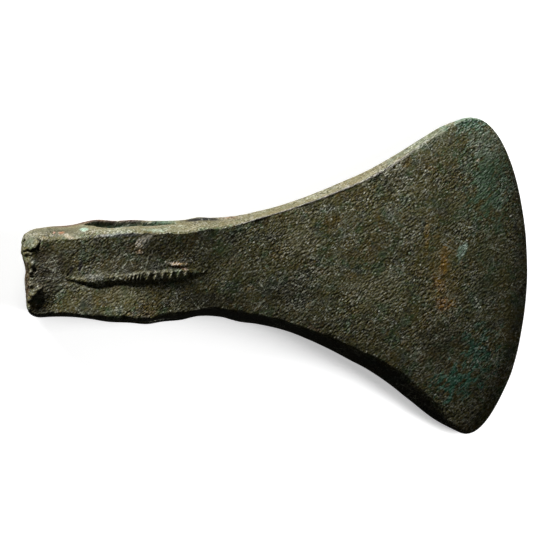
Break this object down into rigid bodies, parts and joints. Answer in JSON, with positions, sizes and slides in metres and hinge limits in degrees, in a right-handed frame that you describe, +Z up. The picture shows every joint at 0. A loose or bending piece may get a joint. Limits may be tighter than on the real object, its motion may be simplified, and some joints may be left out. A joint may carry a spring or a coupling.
{
  "type": "bronze axe head",
  "caption": "Cast bronze axe head with an oval shaft hole, a notched rib over it, a hammered poll and a fan-shaped blade with a curved cutting edge.",
  "frame": {"origin": "centre of the bounding box in plan, on the surface that the head lies on", "axes": "+X from the poll to the cutting edge, +Y across the head in the plane of the blade, +Z up out of the ribbed front face"},
  "size_m": [0.165, 0.1032, 0.0271],
  "materials": {
    "patinated_bronze": "cast bronze with a rough dark olive patina, brown and green in places"
  },
  "bodies": {
    "root": {"axe_head": "patinated_bronze"}
  },
  "joints": []
}
